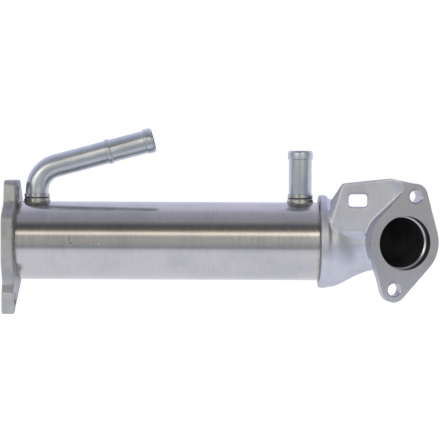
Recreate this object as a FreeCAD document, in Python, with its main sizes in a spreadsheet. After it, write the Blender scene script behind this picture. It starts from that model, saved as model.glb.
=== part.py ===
import FreeCAD, Part
import math
import os
import re

import Sketcher
from FreeCAD import Vector

# EGR cooler: a round shell with a tube bundle inside, an inlet flange, two coolant pipes
# and a cast outlet elbow with a slotted web and a two-bolt flange.
# The origin is the centre of the gas inlet on the mating face of the inlet flange.
# X runs along the shell to the outlet, Z is up and -Y is the side that the outlet faces.

SIZES = (
    ("shell_diameter", 55.0, "outside diameter of the shell tube"),
    ("shell_wall", 1.5, "wall of the shell tube"),
    ("shell_clear_length", 210.5, "shell seen between inlet flange and outlet casting"),
    ("inlet_plate", 8.0, "thickness of the inlet flange"),
    ("inlet_seat_depth", 3.0, "depth of the seat for the shell in the inlet flange"),
    ("inlet_port_diameter", 49.0, "gas port through the inlet flange"),
    ("bolt_hole", 8.8, "clearance hole for an M8 bolt"),
    ("ear_top_along", -7.5, "top bolt of the inlet flange, along Y"),
    ("ear_top_up", 33.8, "top bolt of the inlet flange, height"),
    ("ear_low_along", -20.8, "lower bolt of the inlet flange, along Y"),
    ("ear_low_up", -39.2, "lower bolt of the inlet flange, height"),
    ("ear_back_along", 36.8, "rear bolt of the inlet flange, along Y"),
    ("ear_back_up", -5.5, "rear bolt of the inlet flange, height"),
    ("header_plate", 2.0, "thickness of a header plate"),
    ("header_rim", 5.0, "length of a header plate over its rim"),
    ("header_rim_wall", 1.2, "wall of a header plate's rim"),
    ("header_bend", 1.0, "outside rounding between a header plate and its rim"),
    ("header_setback", 6.0, "rim edge of the inlet header plate, from the mating face"),
    ("outlet_header_margin", 1.0, "shell past the rim edge of the outlet header plate"),
    ("tube_diameter", 8.0, "outside diameter of a gas tube"),
    ("tube_wall", 0.5, "wall of a gas tube"),
    ("tube_edge_gap", 1.2, "gap between an outer gas tube and a header plate's rim"),
    ("tube_stand_out", 1.0, "gas tube standing out of a header plate"),
    ("support_plate", 1.5, "thickness of a tube support"),
    ("support_gap", 0.2, "gap round a tube support in the shell"),
    ("support_hole_gap", 0.15, "gap round a gas tube in a tube support"),
    ("window_past", 2.9, "edge of a tube support's window, past the inner ring of gas tubes"),
    ("support_spacing", 68.0, "distance between the two tube supports"),
    ("pipe_diameter", 16.0, "outside diameter of the coolant pipes"),
    ("pipe_wall", 1.0, "wall of the coolant pipes"),
    ("pipe_depth", 2.5, "coolant pipes' lower ends, under the shell's top"),
    ("bead_rise", 0.75, "height of a hose bead over its pipe"),
    ("bead_edge", 0.8, "rounding of a bead's crown"),
    ("bead_flank", 0.6, "run of a hose bead's rear flank"),
    ("bead_nose", 1.4, "run from a hose bead's crown to the pipe's tip"),
    ("tip_edge", 0.1, "broken edge of a pipe's mouth"),
    ("inlet_pipe_along", 20.4, "bent coolant pipe, from the mating face"),
    ("bend_rise", 7.7, "start of the bent pipe's bend, over the shell's top"),
    ("bend_radius", 18.0, "bend radius of the pipe's centre line"),
    ("pipe_lift", 15.1, "angle of the bent pipe's straight end over the horizontal"),
    ("pipe_run", 71.0, "straight end of the bent pipe"),
    ("stop_bead_back", 32.4, "middle of the hose stop bead, from the pipe's tip"),
    ("stop_bead_width", 3.4, "width of the hose stop bead"),
    ("end_bead_length", 6.4, "length of the hose bead at a pipe's tip"),
    ("outlet_pipe_back", 12.9, "straight coolant pipe, from the outlet casting"),
    ("outlet_pipe_rise", 36.2, "straight coolant pipe's tip, over the shell's top"),
    ("collar_low_diameter", 18.2, "lower ring of a pipe collar"),
    ("collar_high_diameter", 17.7, "upper ring of a pipe collar"),
    ("collar_neck_diameter", 17.0, "groove between the rings of a pipe collar"),
    ("collar_rise", 5.6, "pipe collar's top, over the shell's top"),
    ("collar_depth", 4.0, "start of a pipe collar's rings before the saddle is cut, under the shell's top"),
    ("collar_edge", 0.5, "rounding of a pipe collar's edges"),
    ("groove_top_rise", 3.1, "groove's top edge, over the shell's top"),
    ("groove_foot_rise", 2.3, "groove's lower edge, over the shell's top"),
    ("seat_depth", 4.0, "depth of the seat for the shell in the outlet casting"),
    ("rim_diameter", 65.4, "collar of the outlet casting"),
    ("rim_length", 4.9, "collar of the outlet casting, its round part"),
    ("rim_bevel_length", 2.6, "bevel behind the collar, along X"),
    ("port_past", 56.3, "centre of the outlet port, along X from the casting's edge"),
    ("port_out", 36.0, "centre of the outlet port, from the axis towards -Y"),
    ("port_up", 1.2, "centre of the outlet port, over the axis"),
    ("port_turn", 15.0, "turn of the outlet face from -Y towards +X"),
    ("port_bore", 37.0, "machined bore in the outlet face"),
    ("port_bore_depth", 4.5, "depth of the machined bore"),
    ("outlet_plate", 11.5, "thickness of the outlet flange"),
    ("outlet_round", 49.4, "round middle of the outlet flange"),
    ("outlet_ear_radius", 8.7, "radius of the outlet flange's ears"),
    ("outlet_bolt_circle", 65.0, "bolt circle of the outlet flange"),
    ("outlet_bolt_tilt", 13.6, "tilt of the bolt line from the vertical"),
    ("notch_radius", 3.1, "notch in the edge of the outlet flange"),
    ("notch_up", 21.6, "height of the notch over the port's centre"),
    ("hole_bevel", 0.8, "bevel at the mouth of an outlet bolt hole"),
    ("duct_start_radius", 30.9, "duct behind the collar, outside radius"),
    ("duct_start_drop", 1.1, "duct behind the collar, centre under the axis"),
    ("duct_end_radius", 20.6, "duct at the outlet flange, outside radius"),
    ("duct_bulge", 2.5, "fullness of the duct's front between collar and flange"),
    ("duct_wall", 2.9, "wall of the cast duct"),
    ("web_turn", 8.0, "turn of the web's face from -Y towards -X"),
    ("web_out", 28.5, "web's face at its left edge, from the axis towards -Y"),
    ("web_plate", 5.0, "thickness of the web"),
    ("web_left_top", 40.5, "height of the web's left corner"),
    ("web_corner", 11.0, "radius of the web's left corner"),
    ("web_ridge_along", 41.7, "ridge of the web, from its left edge"),
    ("web_ridge_up", 45.0, "height of the web's ridge"),
    ("web_length", 60.0, "length of the web"),
    ("web_right_top", 41.2, "height of the web's right end"),
    ("web_ridge_round", 4.0, "rounding of the web's ridge"),
    ("web_left_lean", 1.2, "lean of the web's left edge, at its top"),
    ("web_foot", -1.7, "height that the web's blank starts from, inside the duct"),
    ("web_crease", 8.5, "height of the crease under the web's face"),
    ("web_crease_round", 1.5, "rounding of the crease, and thickness of the root under the face"),
    ("web_root", 20.0, "thickness of the web's root over the duct"),
    ("web_root_round", 3.0, "rounding of the root's rear corner"),
    ("web_back_foot", 23.15, "height where the web's back starts to widen into the root"),
    ("web_back_round", 4.0, "rounding between the web's back and the root"),
    ("web_spare", 5.0, "reach of the cutting bodies over the web's ridge"),
    ("slot_along", 19.8, "middle of the web's slot, from the web's left edge"),
    ("slot_up", 29.8, "middle of the web's slot, height"),
    ("slot_length", 13.4, "length of the slot"),
    ("slot_height", 9.3, "height of the slot"),
    ("slot_corner", 2.2, "corner radius of the slot"),
    ("slot_draft", 7.0, "draft angle of the slot's walls"),
    ("slot_reach", 11.0, "depth of the cut for the slot, behind the web's face"),
    ("ramp_along", 35.0, "origin of the ramp's plan, from the web's left edge"),
    ("ramp_reach", 10.0, "reach of the ramp's blank in front of the web's face"),
)

# Corners of the freely shaped outlines, in order: name, what it goes by across and up, its two
# distances from there and its corner radius in millimetres.
OUTLINES = {
    "flange": (
        ("top_front", "ear_top_along", "ear_top_up", -12.0, 8.7, 5.0),
        ("top_root", "ear_top_along", "ear_top_up", -14.0, -6.8, 6.0),
        ("front_high", "-shell_diameter / 2", "shell_diameter / 2", -5.5, -9.5, 9.0),
        ("front_low", "-shell_diameter / 2", "-shell_diameter / 2", -6.0, 13.5, 22.0),
        ("low_root", "-shell_diameter / 2", "ear_low_up", 0.4, 11.7, 5.0),
        ("low_front", "ear_low_along", "ear_low_up", -10.0, 4.5, 4.0),
        ("low_foot", "ear_low_along", "ear_low_up", -9.7, -10.1, 4.5),
        ("low_heel", "ear_low_along", "ear_low_up", -3.5, -10.1, 4.0),
        ("belly", "ear_back_along", "-shell_diameter / 2", -24.8, 0.6, 20.0),
        ("back_low", "ear_back_along", "ear_back_up", 9.7, -8.5, 8.5),
        ("back_high", "ear_back_along", "ear_back_up", 9.7, 8.5, 8.5),
        ("back_root", "shell_diameter / 2", "shell_diameter / 2", -3.5, -7.7, 20.0),
        ("top_back", "ear_top_along", "ear_top_up", 12.0, 8.7, 6.0),
    ),
    "ramp": (
        ("left", "0", "0", -4.0, 1.8, 0.0),
        ("front", "0", "0", 14.0, -6.0, 0.0),
        ("back", "0", "0", 24.0, 3.0, 0.0),
    ),
}

# Rings of the duct: share of the taper that is left, and place on the bent centre line from 0 to 1.
DUCT_RINGS = (
    ("1", "0"),
    ("0.5", "0.2"),
    ("0.1", "0.4"),
    ("0.01", "0.6"),
    ("0", "0.8"),
    ("0", "1"),
)

CORNER_SIZES = tuple(
    (f"{outline_name}_{corner}_{part}", size, f"{outline_name} outline, corner {corner}, {part}")
    for outline_name, corners in OUTLINES.items()
    for corner, across, up, *sizes in corners
    for part, size in zip(("across", "up", "radius"), sizes)
)
ALL_SIZES = SIZES + CORNER_SIZES
NAMES = {name for name, size, note in ALL_SIZES}
STEP_FOLDER = "parts"
# Edge of the block that keeps what lies behind the outlet face.
REACH = 400.0
# Length by which a cutting body runs past the face that it cuts.
PAST = 1.0
# Distance that the slot's outline stands in front of the web's face.
SKIM = 0.01
# Direction of the slanted ridge where the web's face turns towards the outlet flange.
RIDGE_WAY = Vector(0.48, 0, -0.877)

doc = FreeCAD.newDocument("EgrCooler")
sheet = doc.addObject("Spreadsheet::Sheet", "Sizes")
for row, (name, size, note) in enumerate(ALL_SIZES, start=1):
    sheet.set(f"A{row}", note)
    sheet.set(f"B{row}", str(size))
    sheet.setAlias(f"B{row}", name)
doc.recompute()


# Sizes and expressions

def cell(text):
    """Write a formula of size names as an expression on the sheet."""
    def on_sheet(word):
        return f"Sizes.{word.group()}" if word.group() in NAMES else word.group()

    return re.sub(r"[a-z_]+", on_sheet, text)


def value(text):
    """Work a formula of size names out."""
    return float(sheet.evalExpression(cell(text)))


def bind(thing, setting, text):
    thing.setExpression(setting, cell(text))


def place(thing, along="0", across="0", up="0", yaw="0", pitch="0", roll="0"):
    """Bind an object's place and turn to the sheet."""
    spot = f"vector({along}; {across}; {up})"
    turn = f"rotation({yaw}; {pitch}; {roll})"
    bind(thing, "Placement", f"placement({spot}; {turn})")


# Sketches

def new_body(label):
    body = doc.addObject("PartDesign::Body", label)
    body.Label = label
    return body


def body_sketch(body, plane, name, offset="0"):
    """Sketch on one of the body's own origin planes, moved along its normal."""
    sketch = body.newObject("Sketcher::SketchObject", f"{body.Name}_{name}")
    planes = {feature.Role: feature for feature in body.Origin.OriginFeatures}
    sketch.AttachmentSupport = (planes[plane], [""])
    sketch.MapMode = "FlatFace"
    bind(sketch, "AttachmentOffset.Base.z", offset)
    return sketch


def free_sketch(name, **where):
    """Sketch that carries its own placement."""
    sketch = doc.addObject("Sketcher::SketchObject", name)
    place(sketch, **where)
    return sketch


def hold(sketch, kind, parts, text):
    """Add a dimension and bind it to the sheet."""
    index = sketch.addConstraint(Sketcher.Constraint(kind, *parts, value(text)))
    sketch.setExpression(f"Constraints[{index}]", cell(text))


def pin(sketch, geometry, point, across, up):
    """Hold a point of the sketch at its two coordinates."""
    if across == "0":
        sketch.addConstraint(Sketcher.Constraint("PointOnObject", geometry, point, -2))
    else:
        hold(sketch, "DistanceX", (-1, 1, geometry, point), across)
    if up == "0":
        sketch.addConstraint(Sketcher.Constraint("PointOnObject", geometry, point, -1))
    else:
        hold(sketch, "DistanceY", (-1, 1, geometry, point), up)


def circle(sketch, radius, across="0", up="0"):
    centre = Vector(value(across), value(up), 0)
    index = sketch.addGeometry(Part.Circle(centre, Vector(0, 0, 1), value(radius)), False)
    pin(sketch, index, 3, across, up)
    hold(sketch, "Radius", (index,), radius)


def corner_arc(before, corner, after, radius):
    """Tangent points and centre of the round at a corner."""
    back = (before - corner).normalize()
    ahead = (after - corner).normalize()
    half = back.getAngle(ahead) / 2
    reach = radius / math.tan(half)
    centre = corner + (back + ahead).normalize() * (radius / math.sin(half))
    return corner + back * reach, corner + ahead * reach, centre


def arc_between(first, last, centre):
    """Arc of the shorter way round from first to last, and whether it runs counter-clockwise."""
    start = math.atan2(first.y - centre.y, first.x - centre.x)
    end = math.atan2(last.y - centre.y, last.x - centre.x)
    counter = (end - start) % (2 * math.pi) < math.pi
    round_edge = Part.Circle(centre, Vector(0, 0, 1), (first - centre).Length)
    if counter:
        return Part.ArcOfCircle(round_edge, start, end), True
    return Part.ArcOfCircle(round_edge, end, start), False


def outline(sketch, corners):
    """Closed outline of straight runs; each corner is (across, up, radius), "0" for a sharp one."""
    spots = [Vector(value(across), value(up), 0) for across, up, radius in corners]
    count = len(corners)
    ends = []
    for index, (across, up, radius) in enumerate(corners):
        if radius == "0":
            ends.append((spots[index], spots[index], None))
        else:
            ends.append(corner_arc(spots[index - 1], spots[index], spots[(index + 1) % count], value(radius)))
    runs = []
    for index in range(count):
        run = Part.LineSegment(ends[index][1], ends[(index + 1) % count][0])
        runs.append(sketch.addGeometry(run, False))
    for index, (across, up, radius) in enumerate(corners):
        before = runs[index - 1]
        after = runs[index]
        if radius == "0":
            sketch.addConstraint(Sketcher.Constraint("Coincident", before, 2, after, 1))
            pin(sketch, after, 1, across, up)
            continue
        bend, counter = arc_between(*ends[index])
        arc = sketch.addGeometry(bend, False)
        first, last = (1, 2) if counter else (2, 1)
        sketch.addConstraint(Sketcher.Constraint("Tangent", before, 2, arc, first))
        sketch.addConstraint(Sketcher.Constraint("Tangent", arc, last, after, 1))
        hold(sketch, "Radius", (arc,), radius)
        corner = sketch.addGeometry(Part.Point(spots[index]), True)
        sketch.addConstraint(Sketcher.Constraint("PointOnObject", corner, 1, before))
        sketch.addConstraint(Sketcher.Constraint("PointOnObject", corner, 1, after))
        pin(sketch, corner, 1, across, up)


def corners_of(name):
    """Corners of a listed outline, as formulas of its sizes."""
    corners = []
    for corner, across, up, aside, above, radius in OUTLINES[name]:
        stem = f"{name}_{corner}"
        bend = f"{stem}_radius" if radius else "0"
        corners.append((f"{across} + {stem}_across", f"{up} + {stem}_up", bend))
    return corners


def belt(sketch, wheels):
    """Closed outline drawn tight round circles, counter-clockwise; a wheel is (across, up, radius)."""
    count = len(wheels)
    centres = [Vector(value(across), value(up), 0) for across, up, radius in wheels]
    radii = [value(radius) for across, up, radius in wheels]
    normals = []
    for index in range(count):
        follow = (index + 1) % count
        way = centres[follow] - centres[index]
        lean = math.acos((radii[index] - radii[follow]) / way.Length)
        angle = math.atan2(way.y, way.x) - lean
        normals.append(Vector(math.cos(angle), math.sin(angle), 0))
    runs = []
    for index in range(count):
        follow = (index + 1) % count
        start = centres[index] + normals[index] * radii[index]
        end = centres[follow] + normals[index] * radii[follow]
        runs.append(sketch.addGeometry(Part.LineSegment(start, end), False))
    for index, (across, up, radius) in enumerate(wheels):
        start = math.atan2(normals[index - 1].y, normals[index - 1].x)
        end = math.atan2(normals[index].y, normals[index].x)
        wheel = Part.Circle(centres[index], Vector(0, 0, 1), radii[index])
        arc = sketch.addGeometry(Part.ArcOfCircle(wheel, start, end), False)
        sketch.addConstraint(Sketcher.Constraint("Tangent", runs[index - 1], 2, arc, 1))
        sketch.addConstraint(Sketcher.Constraint("Tangent", arc, 2, runs[index], 1))
        pin(sketch, arc, 3, across, up)
        hold(sketch, "Radius", (arc,), radius)


# Features

def pad(body, sketch, length):
    feature = body.newObject("PartDesign::Pad", f"{sketch.Name}_pad")
    feature.Profile = sketch
    bind(feature, "Length", length)
    return feature


def pocket(body, sketch, length, forward):
    """Cut along the sketch's normal when forward, against it otherwise, and check that it cuts."""
    doc.recompute()
    before = body.Shape.Volume
    feature = body.newObject("PartDesign::Pocket", f"{sketch.Name}_pocket")
    feature.Profile = sketch
    feature.Reversed = forward
    bind(feature, "Length", length)
    doc.recompute()
    if body.Shape.Volume >= before:
        raise RuntimeError(f"{feature.Name} cuts nothing")
    return feature


def turned(body, sketch, axis):
    """Full turn of the sketch about its own horizontal or vertical axis."""
    feature = body.newObject("PartDesign::Revolution", f"{sketch.Name}_turned")
    feature.Profile = sketch
    feature.ReferenceAxis = (sketch, [axis])
    feature.Angle = 360
    return feature


def extrusion(name, sketch, length, reverse=False):
    """Prism on a free sketch, along its normal or against it."""
    solid = doc.addObject("Part::Extrusion", name)
    solid.Base = sketch
    solid.DirMode = "Normal"
    solid.Solid = True
    solid.Reversed = reverse
    bind(solid, "LengthFwd", length)
    return solid


def rod(name, radius, length, **where):
    solid = doc.addObject("Part::Cylinder", name)
    bind(solid, "Radius", radius)
    bind(solid, "Height", length)
    place(solid, **where)
    return solid


def cone(name, near, far, length, **where):
    solid = doc.addObject("Part::Cone", name)
    bind(solid, "Radius1", near)
    bind(solid, "Radius2", far)
    bind(solid, "Height", length)
    place(solid, **where)
    return solid


def ring(name, radius, **where):
    edge = doc.addObject("Part::Circle", name)
    bind(edge, "Radius", radius)
    place(edge, **where)
    return edge


# Places along the shell

SHELL_START = "(inlet_plate - inlet_seat_depth)"
CASTING_FACE = "(inlet_plate + shell_clear_length)"
SHELL_END = f"({CASTING_FACE} + seat_depth)"
INLET_HEADER_FACE = "(header_setback + header_rim - header_plate)"
OUTLET_HEADER_EDGE = f"({SHELL_END} - outlet_header_margin)"
OUTLET_HEADER_FACE = f"({OUTLET_HEADER_EDGE} - header_rim + header_plate)"
SHELL_TOP = "(shell_diameter / 2)"
SHELL_INSIDE = f"({SHELL_TOP} - shell_wall)"
TUBE_PITCH = f"(({SHELL_INSIDE} - header_rim_wall - tube_edge_gap - tube_diameter / 2) / 2)"
SUPPORT_WINDOW = f"({TUBE_PITCH} + window_past)"
PIPE_FOOT = f"({SHELL_TOP} - pipe_depth)"
BEND_START = f"({SHELL_TOP} + bend_rise)"
OUTLET_PIPE = f"({CASTING_FACE} - outlet_pipe_back)"
OUTLET_PIPE_TOP = f"({SHELL_TOP} + outlet_pipe_rise)"
PORT = f"({CASTING_FACE} + port_past)"
THROAT = "(duct_end_radius - duct_wall)"


def tube_grid():
    """Hexagonal places of the gas tubes, row by row, as formulas of the pitch."""
    rings = 2
    for row in range(-rings, rings + 1):
        count = 2 * rings + 1 - abs(row)
        for column in range(count):
            across = column - (count - 1) / 2
            yield row, f"{across} * {TUBE_PITCH}", f"{row} * {TUBE_PITCH} * sin(60)"


def at(text):
    """Drop a product with nought, so that a point on an axis is held there."""
    return "0" if text.startswith(("0 *", "0.0 *", "-0.0 *")) else text


# Inlet flange: flat plate with a top, a lower and a rear ear

def make_inlet_flange():
    body = new_body("inlet_flange")
    plate = body_sketch(body, "YZ_Plane", "plate")
    outline(plate, corners_of("flange"))
    pad(body, plate, "inlet_plate")
    port = body_sketch(body, "YZ_Plane", "port")
    circle(port, "inlet_port_diameter / 2")
    pocket(body, port, "inlet_plate", True)
    seat = body_sketch(body, "YZ_Plane", "seat", SHELL_START)
    circle(seat, "shell_diameter / 2")
    pocket(body, seat, "inlet_seat_depth", True)
    holes = body_sketch(body, "YZ_Plane", "holes")
    for ear in ("top", "low", "back"):
        circle(holes, "bolt_hole / 2", f"ear_{ear}_along", f"ear_{ear}_up")
    pocket(body, holes, "inlet_plate", True)
    return body


# Shell: welded tube with a hole for each coolant pipe

def make_shell():
    body = new_body("shell")
    wall = body_sketch(body, "YZ_Plane", "wall", SHELL_START)
    circle(wall, "shell_diameter / 2")
    circle(wall, SHELL_INSIDE)
    pad(body, wall, f"{SHELL_END} - {SHELL_START}")
    holes = body_sketch(body, "XY_Plane", "holes")
    circle(holes, "pipe_diameter / 2", "inlet_pipe_along")
    circle(holes, "pipe_diameter / 2", OUTLET_PIPE)
    pocket(body, holes, "shell_diameter", True)
    return body


# Header plates: dished, with the rim brazed into the shell

def make_header(label, edge, face, way):
    """The rim's edge and the plate's outer face stand at edge and face; way is 1 or -1 along X."""
    body = new_body(label)
    dish = body_sketch(body, "XZ_Plane", "dish")
    inner = f"({face} + {way} * header_plate)"
    outline(dish, (
        (edge, SHELL_INSIDE, "0"),
        (edge, f"{SHELL_INSIDE} - header_rim_wall", "0"),
        (face, f"{SHELL_INSIDE} - header_rim_wall", "0"),
        (face, "0", "0"),
        (inner, "0", "0"),
        (inner, SHELL_INSIDE, "header_bend"),
    ))
    turned(body, dish, "H_Axis")
    holes = body_sketch(body, "YZ_Plane", "holes", edge)
    for row, across, up in tube_grid():
        circle(holes, "tube_diameter / 2", at(across), at(up))
    pocket(body, holes, "header_rim", way == 1)
    return body


# Gas tubes: thin round tubes that stand a little out of the headers

def make_gas_tube(number, across, up):
    body = new_body(f"gas_tube_{number:02d}")
    wall = body_sketch(body, "YZ_Plane", "wall")
    circle(wall, "tube_diameter / 2")
    circle(wall, "tube_diameter / 2 - tube_wall")
    start = f"({INLET_HEADER_FACE} - tube_stand_out)"
    end = f"({OUTLET_HEADER_FACE} + tube_stand_out)"
    pad(body, wall, f"{end} - {start}")
    place(body, start, across, up)
    return body


# Tube supports: discs with a window that the coolant flows round

def make_tube_support(label, side, window):
    """The disc stands half a spacing from mid-shell to the given side; window is 1 up or -1 down."""
    body = new_body(label)
    disc = body_sketch(body, "YZ_Plane", "disc")
    circle(disc, f"{SHELL_INSIDE} - support_gap")
    pad(body, disc, "support_plate")
    opening = body_sketch(body, "YZ_Plane", "window")
    edge = f"{window} * {SUPPORT_WINDOW}"
    outline(opening, (
        ("-shell_diameter", edge, "0"),
        ("shell_diameter", edge, "0"),
        ("shell_diameter", f"{window} * shell_diameter", "0"),
        ("-shell_diameter", f"{window} * shell_diameter", "0"),
    ))
    pocket(body, opening, "support_plate", True)
    holes = body_sketch(body, "YZ_Plane", "holes")
    for row, across, up in tube_grid():
        if row * window < 2:
            circle(holes, "tube_diameter / 2 + support_hole_gap", at(across), at(up))
    pocket(body, holes, "support_plate", True)
    middle = f"({INLET_HEADER_FACE} + {OUTLET_HEADER_FACE}) / 2"
    place(body, f"{middle} + {side} * support_spacing / 2 - support_plate / 2")
    return body


# Pipe collars: turned rings that sit on the shell like a saddle

def make_pipe_collar(label, along):
    body = new_body(label)
    ring = body_sketch(body, "XZ_Plane", "ring")
    outline(ring, (
        ("pipe_diameter / 2", f"{SHELL_TOP} - collar_depth", "0"),
        ("collar_low_diameter / 2", f"{SHELL_TOP} - collar_depth", "0"),
        ("collar_low_diameter / 2", f"{SHELL_TOP} + groove_foot_rise", "collar_edge"),
        ("collar_neck_diameter / 2", f"{SHELL_TOP} + groove_foot_rise", "0"),
        ("collar_neck_diameter / 2", f"{SHELL_TOP} + groove_top_rise", "0"),
        ("collar_high_diameter / 2", f"{SHELL_TOP} + groove_top_rise", "collar_edge / 2"),
        ("collar_high_diameter / 2", f"{SHELL_TOP} + collar_rise", "collar_edge"),
        ("pipe_diameter / 2", f"{SHELL_TOP} + collar_rise", "0"),
    ))
    turned(body, ring, "V_Axis")
    saddle = body_sketch(body, "YZ_Plane", "saddle", "-collar_low_diameter")
    circle(saddle, "shell_diameter / 2")
    pocket(body, saddle, "2 * collar_low_diameter", True)
    place(body, along)
    return body


# Coolant inlet pipe: upright foot, one bend, straight end with a stop bead and a hose bead

def make_coolant_inlet_pipe():
    body = new_body("coolant_inlet_pipe")
    route = body_sketch(body, "XZ_Plane", "route")
    foot = Vector(0, value(PIPE_FOOT), 0)
    bend = Vector(0, value(BEND_START), 0)
    radius = value("bend_radius")
    lift = math.radians(value("pipe_lift"))
    middle = bend + Vector(radius, 0, 0)
    leave = middle + Vector(-math.sin(lift), math.cos(lift), 0) * radius
    tip = leave + Vector(math.cos(lift), math.sin(lift), 0) * value("pipe_run")
    upright = route.addGeometry(Part.LineSegment(foot, bend), False)
    wheel = Part.Circle(middle, Vector(0, 0, 1), radius)
    turn = route.addGeometry(Part.ArcOfCircle(wheel, math.pi / 2 + lift, math.pi), False)
    straight = route.addGeometry(Part.LineSegment(leave, tip), False)
    pin(route, upright, 1, "0", PIPE_FOOT)
    pin(route, upright, 2, "0", BEND_START)
    route.addConstraint(Sketcher.Constraint("Tangent", upright, 2, turn, 2))
    route.addConstraint(Sketcher.Constraint("Tangent", turn, 1, straight, 1))
    hold(route, "Radius", (turn,), "bend_radius")
    hold(route, "Distance", (straight,), "pipe_run")
    slope = route.addConstraint(Sketcher.Constraint("Angle", straight, lift))
    route.setExpression(f"Constraints[{slope}]", cell("pipe_lift * 1deg"))

    section = body_sketch(body, "XY_Plane", "section", PIPE_FOOT)
    circle(section, "pipe_diameter / 2")
    circle(section, "pipe_diameter / 2 - pipe_wall")
    pipe = body.newObject("PartDesign::AdditivePipe", "coolant_inlet_pipe_sweep")
    pipe.Profile = section
    pipe.Spine = (route, ["Edge1", "Edge2", "Edge3"])
    doc.recompute()

    tip_along = "bend_radius * (1 - sin(pipe_lift)) + pipe_run * cos(pipe_lift)"
    tip_up = f"{BEND_START} + bend_radius * cos(pipe_lift) + pipe_run * sin(pipe_lift)"
    tip = f"placement(vector({tip_along}; {tip_up}; 0); rotation(pipe_lift; 0; 0))"
    root = "(pipe_diameter / 2 - pipe_wall / 2)"
    crown = "(pipe_diameter / 2 + bead_rise)"
    stop_bead = (
        ("-stop_bead_back - stop_bead_width / 2", root, "0"),
        ("-stop_bead_back - stop_bead_width / 2", crown, "bead_edge"),
        ("-stop_bead_back + stop_bead_width / 2", crown, "bead_edge"),
        ("-stop_bead_back + stop_bead_width / 2", root, "0"),
    )
    end_bead = (
        ("-end_bead_length", root, "0"),
        ("-end_bead_length + bead_flank", crown, "bead_edge"),
        ("-bead_nose", crown, "bead_edge"),
        ("-tip_edge", "pipe_diameter / 2 - tip_edge", "0"),
        ("-tip_edge", root, "0"),
    )
    for name, corners in (("stop_bead", stop_bead), ("end_bead", end_bead)):
        bead = body_sketch(body, "XZ_Plane", name)
        bind(bead, "AttachmentOffset", tip)
        outline(bead, corners)
        turned(body, bead, "H_Axis")
        doc.recompute()
    place(body, "inlet_pipe_along")
    return body


# Coolant outlet pipe: straight, with a hose bead

def make_coolant_outlet_pipe():
    body = new_body("coolant_outlet_pipe")
    wall = body_sketch(body, "XZ_Plane", "wall")
    bore = "(pipe_diameter / 2 - pipe_wall)"
    crown = "(pipe_diameter / 2 + bead_rise)"
    outline(wall, (
        (bore, PIPE_FOOT, "0"),
        ("pipe_diameter / 2", PIPE_FOOT, "0"),
        ("pipe_diameter / 2", f"{OUTLET_PIPE_TOP} - end_bead_length", "bead_edge / 2"),
        (crown, f"{OUTLET_PIPE_TOP} - end_bead_length + bead_flank", "bead_edge"),
        (crown, f"{OUTLET_PIPE_TOP} - bead_nose", "bead_edge"),
        ("pipe_diameter / 2 - tip_edge", OUTLET_PIPE_TOP, "0"),
        (bore, OUTLET_PIPE_TOP, "0"),
    ))
    turned(body, wall, "V_Axis")
    place(body, OUTLET_PIPE)
    return body


# Outlet casting: collar, duct, two-bolt flange and slotted web in one piece

# Lean of the outlet flange's straight sides, between the bolt line and the tangents of the ears.
SIDE_LEAN = ("((90 - outlet_bolt_tilt) * 1deg"
             " - acos((outlet_round / 2 - outlet_ear_radius) / (outlet_bolt_circle / 2)))")


def duct_section(name, radius, step, drop):
    """Ring of the duct on the bent centre line; step runs from 0 at the collar to 1 at the flange."""
    start = f"({CASTING_FACE} + rim_length + rim_bevel_length)"
    end = f"({PORT} - outlet_plate * sin(port_turn))"
    end_out = "(port_out - outlet_plate * cos(port_turn))"
    corner = f"({end} - {end_out} * tan(port_turn))"
    along = f"((1 - {step}) ^ 2 * {start} + 2 * (1 - {step}) * {step} * {corner} + {step} ^ 2 * {end})"
    out = f"(-({step} ^ 2) * {end_out} - 4 * {step} * (1 - {step}) * duct_bulge)"
    ahead = f"((1 - {step}) * ({corner} - {start}) + {step} * ({end} - {corner}))"
    aside = f"(-{step} * {end_out})"
    up = f"{step} * port_up - (1 - {step}) ^ 2 * {drop}"
    return ring(name, radius, along=along, across=out, up=up, yaw=f"atan2({aside}; {ahead})", pitch="90")


def duct_rings(name, radius):
    """Rings of the duct behind its first one, tapering to the given radius."""
    slope = "(duct_start_radius - duct_end_radius)"
    return [
        duct_section(f"{name}_ring_{index}", f"{radius} + {share} * {slope}", step, "duct_start_drop")
        for index, (share, step) in enumerate(DUCT_RINGS[1:], start=1)
    ]


def loft(name, rings, ruled=False):
    """Solid through a row of rings, smooth or in straight runs."""
    solid = doc.addObject("Part::Loft", name)
    solid.Sections = rings
    solid.Solid = True
    solid.Ruled = ruled
    return solid


def port_place(across="0", up="0", out="0"):
    """Place in the frame of the outlet face: across it, up, and out along its normal."""
    along = f"{PORT} + ({across}) * cos(port_turn) + ({out}) * sin(port_turn)"
    back = f"-port_out + ({across}) * sin(port_turn) - ({out}) * cos(port_turn)"
    return {"along": along, "across": back, "up": f"port_up + ({up})", "yaw": "port_turn", "roll": "90"}


def web_place(along="0", back="0"):
    """Place in the frame of the web's face: along it and back from it."""
    start = f"({CASTING_FACE} + rim_length)"
    return {
        "along": f"{start} + ({along}) * cos(web_turn) + ({back}) * sin(web_turn)",
        "across": f"-web_out - ({along}) * sin(web_turn) + ({back}) * cos(web_turn)",
        "yaw": "-web_turn",
        "roll": "90",
    }


def web_outline(name, forward):
    """Outline of the web on a plane moved forward of its face."""
    sketch = free_sketch(name, **web_place(back=f"-{forward}"))
    outline(sketch, (
        ("0", "web_foot", "0"),
        ("web_left_lean", "web_left_top", "web_corner"),
        ("web_ridge_along", "web_ridge_up", "web_ridge_round"),
        ("web_length", "web_right_top", "0"),
        ("web_length", "web_foot", "0"),
    ))
    return sketch


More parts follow.
